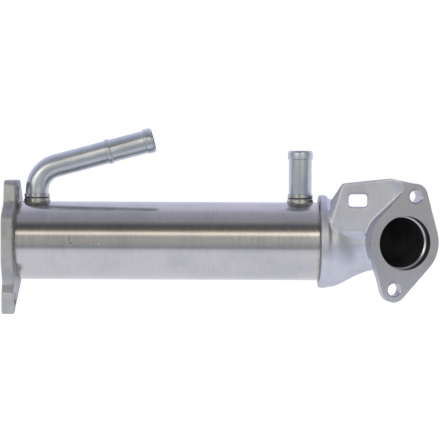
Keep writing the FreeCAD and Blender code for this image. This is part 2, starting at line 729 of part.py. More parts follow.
def make_outlet_casting():
    rim = rod("casting_rim", "rim_diameter / 2", "rim_length", along=CASTING_FACE, pitch="90")
    foot = duct_section("casting_skin_foot", "duct_start_radius", "0", "duct_start_drop")
    skin = loft("casting_skin", [foot, *duct_rings("casting_skin", "duct_end_radius")])
    edge = ring("casting_rim_edge", "rim_diameter / 2", along=f"{CASTING_FACE} + rim_length", pitch="90")
    bevel_foot = duct_section("casting_rim_foot", "duct_start_radius", "0", "duct_start_drop")
    bevel = loft("casting_rim_bevel", [edge, bevel_foot], ruled=True)

    plate_outline = free_sketch("casting_plate_outline", **port_place())
    ear_across = "outlet_bolt_circle / 2 * sin(outlet_bolt_tilt)"
    ear_up = "outlet_bolt_circle / 2 * cos(outlet_bolt_tilt)"
    belt(plate_outline, (
        ("0", "0", "outlet_round / 2"),
        (ear_across, ear_up, "outlet_ear_radius"),
        ("0", "0", "outlet_round / 2"),
        (f"-({ear_across})", f"-({ear_up})", "outlet_ear_radius"),
    ))
    plate = extrusion("casting_plate", plate_outline, "outlet_plate", reverse=True)

    web_slab = extrusion("casting_web_slab", web_outline("casting_web_outline", "0"),
                         "shell_diameter / 2", reverse=True)
    # The web's section: a thin rib over a root that falls back to the duct under the crease.
    web_section = free_sketch("casting_web_section", **{**web_place(), "yaw": "90 - web_turn"})
    outline(web_section, (
        ("0", "web_crease", "web_crease_round"),
        ("web_crease - web_foot", "web_foot", "0"),
        ("web_root", "web_foot", "0"),
        ("web_root", "web_crease", "web_root_round"),
        ("web_plate", "web_back_foot", "web_back_round"),
        ("web_plate", "web_ridge_up + web_spare", "0"),
        ("0", "web_ridge_up + web_spare", "0"),
    ))
    web_bar = extrusion("casting_web_bar", web_section, "web_length")
    web = doc.addObject("Part::Common", "casting_web")
    web.Base = web_slab
    web.Tool = web_bar

    # The ramp that lifts the web's face to the flange's face, along a slanted ridge.
    ramp_spot = web_place("ramp_along")
    ramp_plan = free_sketch("casting_ramp_plan", along=ramp_spot["along"], across=ramp_spot["across"],
                            up="web_ridge_up + web_spare")
    outline(ramp_plan, corners_of("ramp"))
    ramp_rod = extrusion("casting_ramp_rod", ramp_plan, "web_ridge_up + web_spare")
    ramp_rod.DirMode = "Custom"
    ramp_rod.Dir = RIDGE_WAY
    ramp_slab = extrusion("casting_ramp_slab", web_outline("casting_ramp_outline", "ramp_reach"),
                          "shell_diameter / 2 + ramp_reach", reverse=True)
    ramp = doc.addObject("Part::Common", "casting_ramp")
    ramp.Base = ramp_rod
    ramp.Tool = ramp_slab

    lump = doc.addObject("Part::MultiFuse", "casting_lump")
    lump.Shapes = [rim, bevel, skin, plate, web, ramp]
    behind_face = doc.addObject("Part::Box", "casting_behind_face")
    for side in ("Length", "Width", "Height"):
        setattr(behind_face, side, REACH)
    place(behind_face, **port_place(f"-{REACH / 2}", f"-{REACH / 2}", f"-{REACH}"))
    blank = doc.addObject("Part::Common", "casting_blank")
    blank.Base = lump
    blank.Tool = behind_face

    mouth = ring("casting_cavity_mouth", SHELL_INSIDE, along=f"{SHELL_END} - {PAST}", pitch="90")
    entry = duct_section("casting_cavity_entry", SHELL_INSIDE, "0", "0")
    throat_place = {**port_place(out=PAST), "yaw": "port_turn - 90", "pitch": "90", "roll": "0"}
    throat = ring("casting_cavity_throat", THROAT, **throat_place)
    cavity = loft("casting_cavity", [mouth, entry, *duct_rings("casting_cavity", THROAT), throat])
    ducted = doc.addObject("Part::Cut", "casting_ducted")
    ducted.Base = blank
    ducted.Tool = cavity

    seat = rod("casting_seat", "shell_diameter / 2", "seat_depth", along=CASTING_FACE, pitch="90")
    bore = rod("casting_bore", "port_bore / 2", f"port_bore_depth + {PAST}",
               **port_place(out="-port_bore_depth"))
    notch_across = f"(outlet_round / 2 - notch_up * sin({SIDE_LEAN})) / cos({SIDE_LEAN})"
    notch = rod("casting_notch", "notch_radius", f"outlet_plate + 2 * {PAST}",
                **port_place(notch_across, "notch_up", f"-outlet_plate - {PAST}"))
    slot_outline = free_sketch("casting_slot_outline", **web_place(back=f"-{SKIM}"))
    sides = (("-", "-"), ("+", "-"), ("+", "+"), ("-", "+"))
    outline(slot_outline, tuple(
        (f"slot_along {left} slot_length / 2", f"slot_up {low} slot_height / 2", "slot_corner")
        for left, low in sides
    ))
    slot = extrusion("casting_slot", slot_outline, "slot_reach", reverse=True)
    bind(slot, "TaperAngle", "-slot_draft")
    cuts = [seat, bore, notch, slot]
    for ear, sign in (("top", ""), ("low", "-")):
        across = f"{sign}({ear_across})"
        up = f"{sign}({ear_up})"
        cuts.append(rod(f"casting_hole_{ear}", "bolt_hole / 2", f"3 * outlet_plate + {PAST}",
                        **port_place(across, up, "-3 * outlet_plate")))
        cuts.append(cone(f"casting_hole_bevel_{ear}", "bolt_hole / 2", "bolt_hole / 2 + hole_bevel",
                         "hole_bevel", **port_place(across, up, "-hole_bevel")))
    hollow = doc.addObject("Part::MultiFuse", "casting_hollow")
    hollow.Shapes = cuts
    casting = doc.addObject("Part::Cut", "outlet_casting")
    casting.Base = ducted
    casting.Tool = hollow
    casting.Label = "outlet_casting"
    return casting


def make_parts():
    parts = [
        make_inlet_flange(),
        make_shell(),
        make_header("inlet_header_plate", "header_setback", INLET_HEADER_FACE, 1),
        make_header("outlet_header_plate", OUTLET_HEADER_EDGE, OUTLET_HEADER_FACE, -1),
    ]
    for number, (row, across, up) in enumerate(tube_grid(), start=1):
        parts.append(make_gas_tube(number, across, up))
    parts.append(make_tube_support("tube_support_front", -1, 1))
    parts.append(make_tube_support("tube_support_rear", 1, -1))
    parts.append(make_pipe_collar("coolant_inlet_collar", "inlet_pipe_along"))
    parts.append(make_pipe_collar("coolant_outlet_collar", OUTLET_PIPE))
    parts.append(make_coolant_inlet_pipe())
    parts.append(make_coolant_outlet_pipe())
    parts.append(make_outlet_casting())
    return parts


def check(parts):
    """Stop if an object failed or a part has no good solid."""
    for thing in doc.Objects:
        if "Invalid" in thing.State or "Error" in thing.State:
            raise RuntimeError(f"{thing.Name} failed: {thing.State}")
    for part in parts:
        if part.Shape.isNull() or not part.Shape.isValid():
            raise RuntimeError(f"{part.Label} has no valid shape")


def main():
    parts = make_parts()
    doc.recompute()
    check(parts)
    os.makedirs(STEP_FOLDER, exist_ok=True)
    for part in parts:
        part.Shape.exportStep(os.path.join(STEP_FOLDER, f"{part.Label}.step"))
        print(f"{part.Label}: {part.Shape.Volume / 1000:.2f} cm3, solids {len(part.Shape.Solids)}")


main()
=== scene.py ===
import logging
import math
from dataclasses import dataclass, field
from enum import Enum

import bmesh
import bpy
from mathutils import Matrix, Quaternion, Vector, geometry, noise
from mathutils.bvhtree import BVHTree


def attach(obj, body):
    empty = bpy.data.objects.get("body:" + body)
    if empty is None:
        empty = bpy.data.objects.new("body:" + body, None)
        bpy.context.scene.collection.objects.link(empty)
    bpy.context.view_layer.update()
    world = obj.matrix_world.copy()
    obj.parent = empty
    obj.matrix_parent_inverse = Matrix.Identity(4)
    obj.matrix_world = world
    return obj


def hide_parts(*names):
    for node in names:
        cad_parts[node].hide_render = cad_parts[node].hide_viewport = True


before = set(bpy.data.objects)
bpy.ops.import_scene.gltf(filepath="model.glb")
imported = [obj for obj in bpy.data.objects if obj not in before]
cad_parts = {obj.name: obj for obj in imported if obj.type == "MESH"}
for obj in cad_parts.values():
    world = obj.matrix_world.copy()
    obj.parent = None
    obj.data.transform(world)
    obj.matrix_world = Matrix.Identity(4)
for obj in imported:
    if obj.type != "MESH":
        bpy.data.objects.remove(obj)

# EGR cooler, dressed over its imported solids. Metres, the frame of the solids:
# X along the shell from the inlet flange, Z up, -Y the side that the outlet faces.

MM = 0.001
SHELL_RADIUS = 27.5 * MM
SHELL_ENDS_MM = (8.0, 218.5)
INLET_COLLAR_X = 20.4 * MM
OUTLET_COLLAR_X = 205.6 * MM
WELD_DISTANCE = 1e-6
# Numbers of a Mix node's sockets for colours
MIX_SHARE, MIX_BASE, MIX_COVER, MIX_RESULT = 0, 6, 7, 2
LOG = logging.getLogger("egr_cooler")
logging.basicConfig(level=logging.INFO, format="%(message)s")


class Slot(Enum):
    """Material slots of the record that the pieces made here take."""

    FLANGE = "flange_steel"
    PIPE = "pipe_steel"
    CAST = "cast_steel"


class Grain(Enum):
    """Which way a surface's fine marks run."""

    AROUND_X = (1.0, 0.03, 0.03)
    AROUND_Z = (0.05, 0.05, 1.0)
    ALONG_Z = (1.0, 1.0, 0.04)
    EVEN = (1.0, 1.0, 1.0)


# Colours and nodes

def linear(code: str) -> tuple[float, float, float, float]:
    """Turn an sRGB hex colour to linear values.

    Args:
        code: six hex digits with a leading hash.

    Returns:
        Linear red, green, blue and an alpha of one.
    """
    shades = [int(code[start:start + 2], 16) / 255 for start in (1, 3, 5)]
    red, green, blue = (shade / 12.92 if shade <= 0.04045 else ((shade + 0.055) / 1.055) ** 2.4
                        for shade in shades)
    return red, green, blue, 1.0


def add_node(tree: bpy.types.NodeTree, kind: str, settings: dict | None = None) -> bpy.types.Node:
    """Add a node and set its properties and inputs.

    Args:
        tree: the node tree that takes the node.
        kind: type name of the node.
        settings: property or input name, or input number, to its value or the socket that feeds it.

    Returns:
        The new node.
    """
    node = tree.nodes.new(kind)
    for name, value in (settings or {}).items():
        if isinstance(value, bpy.types.NodeSocket):
            tree.links.new(value, node.inputs[name])
        elif isinstance(name, int) or name in node.inputs:
            node.inputs[name].default_value = value
        else:
            setattr(node, name, value)
    return node


def output_of(tree: bpy.types.NodeTree, kind: str, settings: dict | None = None,
              name: int | str = 0) -> bpy.types.NodeSocket:
    """Add a node as add_node does and return the output of that number or name."""
    return add_node(tree, kind, settings).outputs[name]


def compute(tree: bpy.types.NodeTree, operation: str, *terms: bpy.types.NodeSocket | float,
            clamp: bool = False) -> bpy.types.NodeSocket:
    """Add a Math node on sockets and numbers."""
    settings = {"operation": operation, "use_clamp": clamp, **dict(enumerate(terms))}
    return output_of(tree, "ShaderNodeMath", settings)


def remap(tree: bpy.types.NodeTree, value: bpy.types.NodeSocket, source: tuple[float, float],
          target: tuple[float, float] = (0.0, 1.0)) -> bpy.types.NodeSocket:
    """Turn one range of values into another, clamped to its ends."""
    return output_of(tree, "ShaderNodeMapRange", {
        "Value": value, "From Min": source[0], "From Max": source[1],
        "To Min": target[0], "To Max": target[1]})


def clouds(tree: bpy.types.NodeTree, place: bpy.types.NodeSocket, scale: float, detail: float,
           roughness: float = 0.5) -> bpy.types.NodeSocket:
    """Noise at a place, from 0 to 1."""
    return output_of(tree, "ShaderNodeTexNoise", {
        "Vector": place, "Scale": scale, "Detail": detail, "Roughness": roughness}, "Fac")


def blend(tree: bpy.types.NodeTree, share: bpy.types.NodeSocket,
          base: bpy.types.NodeSocket | tuple, cover: tuple) -> bpy.types.NodeSocket:
    """Lay one colour over another by the cover's share, from 0 to 1."""
    return output_of(tree, "ShaderNodeMix", {
        "data_type": "RGBA", MIX_SHARE: share, MIX_BASE: base, MIX_COVER: cover}, MIX_RESULT)


def relief_of(tree: bpy.types.NodeTree, height: bpy.types.NodeSocket, depth_mm: float,
              under: bpy.types.NodeSocket | None = None) -> bpy.types.NodeSocket:
    """Normal of a bumpy surface, laid over another normal if there is one."""
    settings = {"Strength": 1.0, "Distance": depth_mm * MM, "Height": height}
    if under is not None:
        settings["Normal"] = under
    return output_of(tree, "ShaderNodeBump", settings)


def colour_by(tree: bpy.types.NodeTree, value: bpy.types.NodeSocket,
              stops: list[tuple[float, tuple]]) -> bpy.types.NodeSocket:
    """Colour a value by a ramp.

    Args:
        tree: the node tree.
        value: the value, from 0 to 1.
        stops: place from 0 to 1 and linear colour of each stop, in order.

    Returns:
        The colour.
    """
    ramp = add_node(tree, "ShaderNodeValToRGB", {0: value})
    elements = ramp.color_ramp.elements
    while len(elements) > 1:
        elements.remove(elements[-1])
    elements[0].position, elements[0].color = stops[0]
    for place, colour in stops[1:]:
        elements.new(place).color = colour
    return ramp.outputs[0]


def show_by_ray(tree: bpy.types.NodeTree, end: str, lit: bpy.types.NodeSocket,
                seen: bpy.types.NodeSocket, mirrored: bpy.types.NodeSocket) -> None:
    """Give each kind of ray a shader of its own.

    Args:
        tree: the node tree.
        end: type name of the tree's output node.
        lit: shader for the light that falls on the object.
        seen: shader for the camera.
        mirrored: shader for what metal mirrors.
    """
    path = add_node(tree, "ShaderNodeLightPath").outputs
    by_mirror = compute(tree, "MAXIMUM", path["Is Glossy Ray"], path["Is Transmission Ray"])
    direct = output_of(tree, "ShaderNodeMixShader", {0: path["Is Camera Ray"], 1: lit, 2: seen})
    shown = output_of(tree, "ShaderNodeMixShader", {0: by_mirror, 1: direct, 2: mirrored})
    add_node(tree, end, {"Surface": shown})


# Finishes

@dataclass(frozen=True)
class Metal:
    """A bare metal surface with fine marks from its making.

    Attributes:
        name: the metal and how its surface was made.
        colour: sRGB colour of the clean metal.
        shade: sRGB colour of its duller patches.
        roughness: mean roughness.
        spread: how far the roughness wanders.
        grain_mm: width of the fine marks.
        grain: which way they run.
        depth_mm: height of the marks in the bump.
        patch_mm: size of the duller patches.
        pit_mm: size of the pits of a cast or blasted skin, nought for none.
        pit_depth_mm: depth of those pits.
    """

    name: str
    colour: str
    shade: str
    roughness: float
    spread: float
    grain_mm: float
    grain: Grain = Grain.EVEN
    depth_mm: float = 0.004
    patch_mm: float = 18.0
    pit_mm: float = 0.0
    pit_depth_mm: float = 0.0

    def tint(self, tree: bpy.types.NodeTree, place: bpy.types.NodeSocket,
             colour: bpy.types.NodeSocket) -> bpy.types.NodeSocket:
        """Colour the metal further; a plain metal stays as it is."""
        return colour

    def material(self) -> bpy.types.Material:
        """Build the material.

        Returns:
            A node material of the finish.
        """
        material = bpy.data.materials.new(self.name)
        material.use_nodes = True
        tree = material.node_tree
        tree.nodes.clear()
        place = output_of(tree, "ShaderNodeTexCoord", name="Object")
        scale = [axis / (self.grain_mm * MM) for axis in self.grain.value]
        marks_at = output_of(tree, "ShaderNodeMapping", {"Scale": scale, "Vector": place})
        marks = clouds(tree, marks_at, 1.0, 4.0, 0.6)
        patches = clouds(tree, place, 1 / (self.patch_mm * MM), 5.0, 0.62)
        worn = remap(tree, patches, (0.42, 0.66))
        mixed = blend(tree, worn, linear(self.colour), linear(self.shade))
        streak = remap(tree, marks, (0.3, 0.7), (0.93, 1.05))
        streaked = output_of(tree, "ShaderNodeVectorMath",
                             {"operation": "SCALE", 0: mixed, "Scale": streak})
        rough = remap(tree, marks, (0.3, 0.7),
                      (self.roughness - self.spread, self.roughness + self.spread))
        relief = relief_of(tree, marks, self.depth_mm)
        if self.pit_mm:
            pits = clouds(tree, place, 1 / (self.pit_mm * MM), 3.0, 0.55)
            relief = relief_of(tree, pits, self.pit_depth_mm, relief)
        colour = self.tint(tree, place, streaked)
        surface = output_of(tree, "ShaderNodeBsdfPrincipled", {
            "Metallic": 1.0, "Base Color": colour, "Roughness": rough, "Normal": relief})
        add_node(tree, "ShaderNodeOutputMaterial", {"Surface": surface})
        return material


@dataclass(frozen=True)
class HeatTintedTube(Metal):
    """Stainless tube that took straw and brown oxide colours beside its two brazed ends.

    Attributes:
        joints_mm: places of the joints along X.
        reach_mm: how far the oxide runs from a joint.
        blotch_mm: size of the oxide's blotches.
        oxide: sRGB colour of the oxide.
        side_mm: Y of the side of the tube that the scuffs are on.
        sunk_mm: half depth of a scuff across that side.
        marks: short scuffs, each as X, Z, half length along X and half height in millimetres,
            and colour.
    """

    joints_mm: tuple[float, ...] = SHELL_ENDS_MM
    reach_mm: float = 2.8
    blotch_mm: float = 2.5
    oxide: str = "#8A7258"
    side_mm: float = -27.0
    sunk_mm: float = 3.0
    marks: tuple[tuple[float, float, float, float, str], ...] = ()

    def tint(self, tree: bpy.types.NodeTree, place: bpy.types.NodeSocket,
             colour: bpy.types.NodeSocket) -> bpy.types.NodeSocket:
        """Lay the oxide rings and the scuffs over the tube's colour.

        Args:
            tree: the material's node tree.
            place: coordinates in metres.
            colour: the clean tube's colour.

        Returns:
            The coloured socket.
        """
        along = output_of(tree, "ShaderNodeSeparateXYZ", {0: place}, "X")
        ragged = clouds(tree, place, 1 / (self.blotch_mm * MM), 3.0)
        for joint in self.joints_mm:
            distance = compute(tree, "ABSOLUTE", compute(tree, "SUBTRACT", along, joint * MM))
            near = remap(tree, distance, (self.reach_mm * MM, 0.0), (0.0, 1.1))
            blotch = compute(tree, "MULTIPLY", near, ragged, clamp=True)
            colour = blend(tree, blotch, colour, linear(self.oxide))
        for middle, up, half, tall, scuff in self.marks:
            spot = output_of(tree, "ShaderNodeMapping", {
                "vector_type": "TEXTURE", "Vector": place,
                "Location": (middle * MM, self.side_mm * MM, up * MM),
                "Scale": (half * MM, self.sunk_mm * MM, tall * MM)})
            blob = output_of(tree, "ShaderNodeTexGradient",
                             {"gradient_type": "SPHERICAL", "Vector": spot}, "Fac")
            edge = remap(tree, blob, (0.0, 0.4), (0.0, 0.75))
            colour = blend(tree, edge, colour, linear(scuff))
        return colour


# Ferritic stainless tube, belt-brushed round its circumference: satin, with bands that stay sharp.
SHELL_TUBE = HeatTintedTube(
    "stainless tube, brushed round", "#C3C2C3", "#B9B9BC", 0.16, 0.05, 0.35,
    Grain.AROUND_X, 0.0015, 30.0,
    marks=((46.0, 3.0, 0.4, 3.2, "#77756F"), (47.2, -0.2, 1.3, 0.5, "#6A6862"),
           (66.1, -1.2, 0.8, 0.6, "#EEF0F0")))
# Drawn stainless pipe, bright annealed: soft sheen with faint draw lines.
PIPE_STEEL = Metal("stainless pipe, drawn and bright annealed", "#C6CDD5", "#BCC4CC",
                   0.33, 0.03, 0.2, Grain.EVEN, 0.0006, 9.0)
# The same pipe inside its bore: matt and nearly black, painted shade for the unlit inside.
PIPE_BORE_SHADE = Metal("stainless pipe, painted bore shade", "#343435", "#262627",
                    0.6, 0.06, 0.6, Grain.EVEN, 0.01, 8.0)
# Free-cutting steel, turned and passivated: bright with rings of tool marks.
TURNED_STEEL = Metal("stainless collar, turned", "#BDBDBE", "#9E9C99",
                     0.2, 0.06, 0.22, Grain.AROUND_Z, 0.004, 5.0)
# Steel plate, blanked and tumbled: even grey, slightly mottled.
PLATE_STEEL = Metal("steel plate, blanked and tumbled", "#BBBDC0", "#A9ABAE",
                    0.52, 0.06, 0.5, Grain.EVEN, 0.01, 14.0, 0.9, 0.02)
# Investment-cast stainless steel, bead blasted: pale, silky and free of mirror bands.
CAST_SKIN = Metal("cast stainless steel, bead blasted", "#CBCED8", "#BDC0CA",
                  0.46, 0.05, 0.4, Grain.EVEN, 0.012, 22.0, 1.1, 0.05)
# The same casting where it was milled: a little darker and smoother, with fine tool marks.
CAST_MILLED = Metal("cast stainless steel, milled", "#BDBEC5", "#B7B8BF",
                    0.32, 0.03, 0.25, Grain.ALONG_Z, 0.0015, 16.0)
# Inside skin of the casting, also the collars' grooves: matt grey darkened as painted shade, dark
# away from the light.
CAST_INSIDE_SHADE = Metal("cast stainless steel, painted inside shade", "#747678", "#626466",
                    0.62, 0.06, 0.6, Grain.EVEN, 0.02, 12.0, 1.4, 0.08)
# Thin gas tubes and their plates, vacuum brazed: dull grey.
BUNDLE_STEEL = Metal("stainless bundle, vacuum brazed", "#A3A2A0", "#8E8C89",
                     0.34, 0.07, 0.4, Grain.EVEN, 0.004, 8.0)
# Nickel braze metal drawn into a joint: dark straw, slightly lumpy.
BRAZE = Metal("nickel braze", "#9A958B", "#7E786D",
              0.33, 0.08, 0.8, Grain.EVEN, 0.03, 3.0)


# Meshes

def new_object(name: str, mesh: bpy.types.Mesh) -> bpy.types.Object:
    """Put a mesh in the scene under the given name."""
    thing = bpy.data.objects.new(name, mesh)
    bpy.context.scene.collection.objects.link(thing)
    return thing


def mesh_of(name: str, build: bmesh.types.BMesh) -> bpy.types.Mesh:
    """Turn a bmesh into a mesh and free it."""
    mesh = bpy.data.meshes.new(name)
    build.to_mesh(mesh)
    build.free()
    return mesh


def take_away(thing: bpy.types.Object, name: str, tool: bpy.types.Object) -> None:
    """Give an object a modifier that cuts the body of another out of it."""
    cut = thing.modifiers.new(name, "BOOLEAN")
    cut.operation = "DIFFERENCE"
    cut.solver = "EXACT"
    cut.use_self = True
    cut.object = tool


def settle(thing: bpy.types.Object) -> bpy.types.Mesh:
    """Apply the modifiers of an object.

    Args:
        thing: the object.

    Returns:
        The object's new mesh, in its own coordinates.
    """
    graph = bpy.context.evaluated_depsgraph_get()
    graph.update()
    mesh = bpy.data.meshes.new_from_object(thing.evaluated_get(graph))
    thing.modifiers.clear()
    thing.data = mesh
    return mesh


def swept_ring(name: str, sections: list[list[Vector]]) -> bpy.types.Mesh:
    """Closed ring mesh through a loop of sections that have the same number of points.

    Args:
        name: name of the mesh.
        sections: points of each section, in order round the loop.

    Returns:
        The mesh, with its faces turned outwards.
    """
    build = bmesh.new()
    rows = [[build.verts.new(point) for point in section] for section in sections]
    for index, row in enumerate(rows):
        follow = rows[(index + 1) % len(rows)]
        for step in range(len(row)):
            after = (step + 1) % len(row)
            build.faces.new((row[step], row[after], follow[after], follow[step]))
    bmesh.ops.recalc_face_normals(build, faces=build.faces[:])
    for face in build.faces:
        face.smooth = True
    return mesh_of(name, build)


def drum(build: bmesh.types.BMesh, place: Matrix, near: float, far: float, low: float,
         high: float, sides: int = 96) -> None:
    """Add a closed cylinder or cone to a bmesh.

    Args:
        build: the bmesh.
        place: frame of the drum, its axis along Z.
        near: radius at the low end.
        far: radius at the high end.
        low: where it starts along the axis.
        high: where it ends.
        sides: number of sides.
    """
    middle = place @ Matrix.Translation((0, 0, (low + high) / 2))
    bmesh.ops.create_cone(build, cap_ends=True, segments=sides, radius1=near, radius2=far,
                          depth=high - low, matrix=middle)


def stretch(build: bmesh.types.BMesh, foot: list[Vector], head: list[Vector]) -> None:
    """Add the closed body between two outlines with as many corners to a bmesh."""
    lower = [build.verts.new(point) for point in foot]
    upper = [build.verts.new(point) for point in head]
    build.faces.new(lower[::-1])
    build.faces.new(upper)
    for index in range(len(lower)):
        after = (index + 1) % len(lower)
        build.faces.new((lower[index], lower[after], upper[after], upper[index]))


def prism(build: bmesh.types.BMesh, place: Matrix, outline: list[Vector], low: float,
          high: float) -> None:
    """Add a closed prism on an outline to a bmesh.

    Args:
        build: the bmesh.
        place: frame of the outline's plane, its normal along Z.
        outline: corners in the plane, counter-clockwise.
        low: where the prism starts along the normal.
        high: where it ends.
    """
    foot, head = ([place @ Vector((corner.x, corner.y, level)) for corner in outline]
                  for level in (low, high))
    stretch(build, foot, head)


def dress(mesh: bpy.types.Mesh, *finishes: Metal) -> None:
    """Give a mesh its finishes, one per material slot."""
    mesh.materials.clear()
    for finish in finishes:
        mesh.materials.append(finish.material())


def ride_root(thing: bpy.types.Object) -> None:
    """Let a piece ride on the only body."""
    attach(thing, "root")


# Outlet casting: cast skin with soft edges, crisp where it was milled and drilled

@dataclass
class OutletCasting:
    """The cast outlet elbow with its web and two-bolt flange.

    Attributes:
        port: centre of the outlet on the milled face.
        turn: turn of the face from -Y towards +X, in degrees.
        plate: thickness of the flange.
        waist: radius of the flange's round middle.
        ear: radius of its ears.
        bolt_circle: bolt circle radius.
        tilt: tilt of the bolt line, in degrees.
        bolt: radius of a bolt hole.
        bevel: bevel at a hole's mouth.
        bore: radius of the milled bore.
        bore_depth: its depth.
        throat: radius of the turned throat behind it.
        throat_depth: how far the throat reaches behind the face.
        ledge: depth of the bevel between bore and throat.
        thin: thickness of the flange where it stands clear of the web.
        clear_span: radius of the duct behind the clear part of the flange.
        slimming: how much slimmer the duct's lower half is than the solid.
        edge_bevel: corners of the bevel cut on the web's left edge, at its foot and its head,
            in millimetres.
        corner_cut: X and Z of the cut on the web's left corner, in millimetres.
        corner_span: start and end of that cut along Y, in millimetres.
        hole_depth: how deep a bolt hole is drilled, through the flange and the web behind it.
        seat: radius of the shell's seat.
        seat_span: start and end of the seat along X.
        mouth: end along X of the collar's wide mouth behind the seat, and the mouth's radius.
        voxel: edge of the cells that the cast skin is drawn with.
        softness: smoothing steps that round the cast edges.
    """

    port: Vector = field(default_factory=lambda: Vector((274.8, -36.0, 1.2)) * MM)
    turn: float = 15.0
    plate: float = 11.5 * MM
    waist: float = 24.7 * MM
    ear: float = 8.7 * MM
    bolt_circle: float = 32.5 * MM
    tilt: float = 13.6
    bolt: float = 4.4 * MM
    bevel: float = 0.8 * MM
    bore: float = 18.5 * MM
    bore_depth: float = 6.6 * MM
    throat: float = 17.2 * MM
    throat_depth: float = 10.0 * MM
    ledge: float = 0.8 * MM
    thin: float = 7.0 * MM
    clear_span: float = 19.1 * MM
    slimming: float = 1.7 * MM
    edge_bevel: tuple[tuple[tuple[float, float, float], ...], ...] = (
        ((229.9, -34.0, 13.0), (223.3, -27.4, 13.0), (223.3, -34.0, 13.0)),
        ((241.2, -35.6, 50.0), (223.3, -17.7, 50.0), (223.3, -35.6, 50.0)),
    )
    corner_cut: tuple[tuple[float, float], ...] = (
        (224.2, 28.0), (236.0, 46.2), (222.0, 46.2), (222.0, 28.0),
    )
    corner_span: tuple[float, float] = (-40.0, -21.0)
    hole_depth: float = 34.5 * MM
    seat: float = 27.55 * MM
    seat_span: tuple[float, float] = (216.0 * MM, 222.5 * MM)
    mouth: tuple[float, float] = (223.5 * MM, 27.2 * MM)
    voxel: float = 0.75 * MM
    softness: int = 7

    @property
    def face_frame(self) -> Matrix:
        """Frame of the milled face: X across it, Y up, Z out along its normal."""
        lean = math.radians(self.turn)
        across = Vector((math.cos(lean), math.sin(lean), 0))
        up = Vector((0, 0, 1))
        out = across.cross(up)
        turned = Matrix((across, up, out)).transposed().to_4x4()
        return Matrix.Translation(self.port) @ turned

    @property
    def ears(self) -> list[Vector]:
        """Centres of the two bolt holes in the face's frame."""
        lean = math.radians(self.tilt)
        top = Vector((math.sin(lean), math.cos(lean), 0)) * self.bolt_circle
        return [top, -top]

    def flange_outline(self, ear: Vector) -> list[Vector]:
        """Outline tight round the flange's middle and one ear.

        Args:
            ear: centre of the ear in the face's frame.

        Returns:
            Corners of the outline, counter-clockwise.
        """
        corners = 96
        angles = [math.tau * index / corners for index in range(corners)]
        ring = [Vector((math.cos(angle), math.sin(angle))) for angle in angles]
        points = [way * self.waist for way in ring]
        points += [ear.to_2d() + way * self.ear for way in ring]
        return [points[index] for index in geometry.convex_hull_2d(points)]

    def blank(self) -> bpy.types.Mesh:
        """Casting before it was milled: holes and bore closed, flange standing over its face.

        Returns:
            A mesh of overlapping closed bodies.
        """
        build = bmesh.new()
        build.from_mesh(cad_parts["outlet_casting"].data)
        bmesh.ops.remove_doubles(build, verts=build.verts[:], dist=WELD_DISTANCE)
        place = self.face_frame
        stock, sunk = 2.0 * MM, 1.0 * MM
        bolt_plug, bolt_plug_depth = self.bolt * 1.25, self.plate * 0.96
        bore_plug, bore_plug_depth = self.bore * 1.05, self.bore_depth * 1.25
        for ear in self.ears:
            prism(build, place, self.flange_outline(ear), -sunk, stock)
            hole = place @ Matrix.Translation(ear)
            drum(build, hole, bolt_plug, bolt_plug, -bolt_plug_depth, stock)
        drum(build, place, bore_plug, bore_plug, -bore_plug_depth, stock)
        return mesh_of("casting_blank", build)

    def hollows(self) -> bpy.types.Mesh:
        """What the mould leaves out: the recess behind the flange and the web's bevelled left edge.

        Returns:
            A mesh of closed bodies.
        """
        build = bmesh.new()
        # Angles round the outlet in degrees: the recess's ends, where it runs out past the ears
        # and where it starts to grow shallow.
        first, last, steps = -162, 45, 48
        ear_turns = ((-138, -50), (30, last + 1))
        past_ears, past_waist = 45 * MM, 26.5 * MM
        fade_start, fade_length = -120, 44
        outer, inner = [], []
        for step in range(steps + 1):
            turn = first + (last - first) * step / steps
            way = Vector((math.cos(math.radians(turn)), math.sin(math.radians(turn))))
            by_ear = any(low < turn < high for low, high in ear_turns)
            fade = max(0.0, (fade_start - turn) / fade_length)
            outer.append(way * (past_ears if by_ear else past_waist))
            inner.append(way * (self.clear_span + (past_waist - self.clear_span) * fade))
        lap = 0.1 * MM
        prism(build, self.face_frame, [*outer, *inner[::-1]], -self.plate - lap, -self.thin)
        foot, head = ([Vector(corner) * MM for corner in level] for level in self.edge_bevel)
        stretch(build, foot, head)
        foot, head = ([Vector((along, side, up)) * MM for along, up in self.corner_cut]
                      for side in self.corner_span)
        stretch(build, foot, head)
        bmesh.ops.recalc_face_normals(build, faces=build.faces[:])
        return mesh_of("casting_hollows", build)

    def slim(self, mesh: bpy.types.Mesh) -> None:
        """Draw the outside of the duct's lower half in towards its axis.

        Args:
            mesh: skin of the casting.
        """
        # The collar stays. Full effect this far below the axis, on this much wall outside its
        # middle, and from this share of the duct's length on, each with its fade.
        collar_end, depth = 228 * MM, 12 * MM
        wall, wall_fade = 5.2 * MM, 1.6 * MM
        start, run = 0.2, 0.35
        axis = self.duct_axis()
        for vertex in mesh.vertices:
            if vertex.co.x < collar_end or vertex.co.z > 0:
                continue
            step = min(range(len(axis)), key=lambda index: (axis[index][0] - vertex.co).length)
            middle, radius = axis[step]
            away = vertex.co - middle
            if away.length < radius:
                continue
            close = min(1.0, max(0.0, (radius + wall - away.length) / wall_fade))
            near_end = min(1.0, max(0.0, (step / (len(axis) - 1) - start) / run))
            below = min(1.0, -vertex.co.z / depth)
            vertex.co -= away.normalized() * (self.slimming * close * near_end * below)

